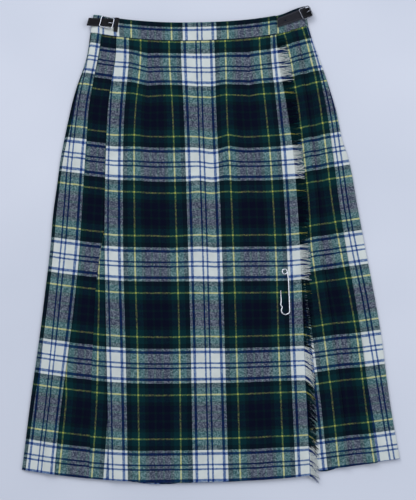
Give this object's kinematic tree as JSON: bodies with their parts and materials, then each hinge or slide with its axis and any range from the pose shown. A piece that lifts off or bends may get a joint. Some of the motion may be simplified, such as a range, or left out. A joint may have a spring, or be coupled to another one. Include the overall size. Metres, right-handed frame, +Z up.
{
  "type": "pleated tartan wrap skirt",
  "caption": "Pleated tartan wrap skirt laid flat with its front up: fringed front apron over an under apron, knife-pleated back, waistband with buckled leather straps, and a wire kilt pin",
  "frame": {"origin": "On the surface that the skirt lies on, under the middle of its bounding box.", "axes": "+X to the right seen from above, +Y from the hem to the waist, +Z up from the surface, out of the front."},
  "size_m": [0.583, 0.7645, 0.0129],
  "materials": {
    "tartan_wool": "wool twill woven in a white, green, navy, black and yellow tartan",
    "wool_threads": "loose wool threads in the colours of the weave",
    "black_leather": "smooth black leather, slightly glossy",
    "grey_leather": "smooth dark grey leather, worn",
    "steel": "plated steel"
  },
  "bodies": {
    "root": {"back_panel": "tartan_wool", "under_apron": "tartan_wool", "front_apron": "tartan_wool", "apron_fringe": "wool_threads", "waistband": "tartan_wool", "left_strap": "black_leather", "left_strap_stay": "black_leather", "left_buckle_frame": "steel", "left_buckle_prong": "steel", "right_strap": "grey_leather", "right_buckle_frame": "steel", "right_buckle_prong": "steel", "kilt_pin": "steel"}
  },
  "joints": []
}
